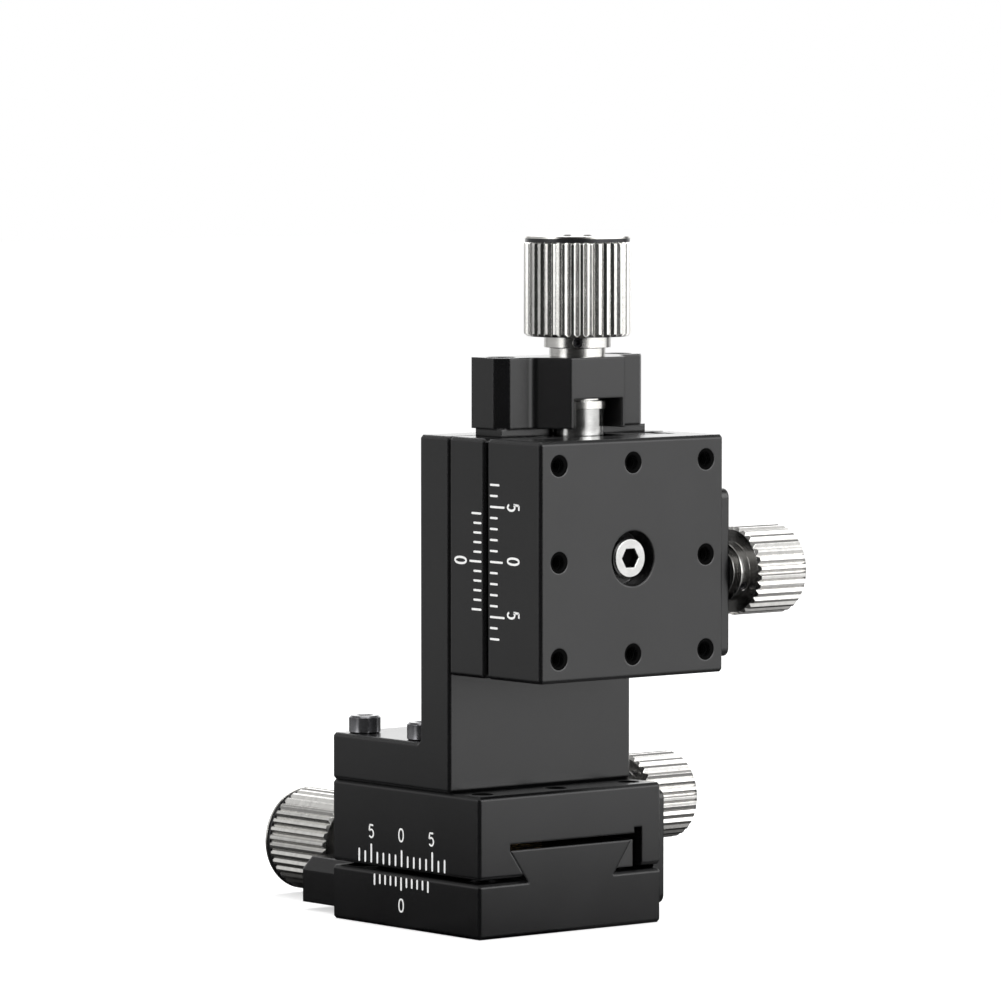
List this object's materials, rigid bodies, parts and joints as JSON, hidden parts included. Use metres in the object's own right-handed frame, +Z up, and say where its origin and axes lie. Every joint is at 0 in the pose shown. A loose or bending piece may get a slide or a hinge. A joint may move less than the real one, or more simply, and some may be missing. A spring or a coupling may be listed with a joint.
{
  "type": "xz translation stage",
  "caption": "Two-axis dovetail translation stage: a lying stage carries an upright one on an angle bracket, each with a knurled feed knob, travel scale and side clamp knob.",
  "frame": {"origin": "centre of the lower stage's bottom face", "axes": "+X along the lower stage's travel and out of the upright table's face, +Y towards the clamp knobs, +Z up along the upright stage's travel"},
  "size_m": [0.0927, 0.0563, 0.1177],
  "materials": {
    "black_anodised": "satin black anodised aluminium",
    "gib_metal": "dark anodised sliding strip",
    "nickel_plate": "bright nickel plated, turned and knurled",
    "ground_steel": "ground steel",
    "black_oxide": "black oxide alloy steel",
    "brass": "plain turned brass"
  },
  "bodies": {
    "lower_base": {"x_base": "black_anodised", "x_feed_bracket": "black_anodised", "x_bracket_screws": "black_oxide", "x_feed_bush": "nickel_plate", "x_clamp_plate": "black_anodised", "x_clamp_plate_screws": "black_oxide"},
    "lower_table": {"x_carriage": "black_anodised", "x_gib": "gib_metal", "x_gib_screws": "black_oxide", "x_feed_nut": "brass", "x_nut_screw": "ground_steel", "z_mount_bracket": "black_anodised", "foot_screws": "black_oxide", "z_mount_screws": "black_oxide", "z_base": "black_anodised", "z_feed_bracket": "black_anodised", "z_bracket_screws": "black_oxide", "z_feed_bush": "nickel_plate", "z_clamp_plate": "black_anodised", "z_clamp_plate_screws": "black_oxide"},
    "upright_table": {"z_carriage": "black_anodised", "z_gib": "gib_metal", "z_gib_screws": "black_oxide", "z_feed_nut": "brass", "z_nut_screw": "ground_steel"},
    "lower_feed": {"x_feed_screw": "ground_steel", "x_thrust_collar": "nickel_plate", "x_feed_knob": "nickel_plate", "x_feed_knob_set_screw": "black_oxide"},
    "upright_feed": {"z_feed_screw": "ground_steel", "z_thrust_collar": "nickel_plate", "z_feed_knob": "nickel_plate", "z_feed_knob_set_screw": "black_oxide"},
    "lower_clamp": {"x_clamp_stud": "ground_steel", "x_clamp_washer": "nickel_plate", "x_clamp_knob": "nickel_plate", "x_clamp_knob_set_screw": "black_oxide"},
    "upright_clamp": {"z_clamp_stud": "ground_steel", "z_clamp_washer": "nickel_plate", "z_clamp_knob": "nickel_plate", "z_clamp_knob_set_screw": "black_oxide"}
  },
  "joints": [
    {"name": "x_feed_turn", "type": "hinge", "parent": "lower_base", "child": "lower_feed", "pos_m": [-0.0433, 0, 0.0095], "axis": [1, 0, 0], "range_deg": [-2521, 2521]},
    {"name": "x_travel", "type": "slide", "parent": "lower_base", "child": "lower_table", "axis": [1, 0, 0], "range_m": [-0.007, 0.007]},
    {"name": "z_feed_turn", "type": "hinge", "parent": "lower_table", "child": "upright_feed", "pos_m": [0.0215, 0, 0.1073], "axis": [0, 0, -1], "range_deg": [-2521, 2521]},
    {"name": "z_travel", "type": "slide", "parent": "lower_table", "child": "upright_table", "axis": [0, 0, 1], "range_m": [-0.007, 0.007]},
    {"name": "x_clamp_turn", "type": "hinge", "parent": "lower_table", "child": "lower_clamp", "pos_m": [0.0035, 0.0305, 0.0196], "axis": [0, 1, 0], "range_deg": [-90, 180]},
    {"name": "z_clamp_turn", "type": "hinge", "parent": "upright_table", "child": "upright_clamp", "pos_m": [0.0316, 0.0305, 0.0605], "axis": [0, 1, 0], "range_deg": [-90, 180]}
  ],
  "couplings": [
    {"joint": "x_feed_turn", "follows": "x_travel", "rad_per_m": -6283.2},
    {"joint": "z_feed_turn", "follows": "z_travel", "rad_per_m": 6283.2}
  ]
}
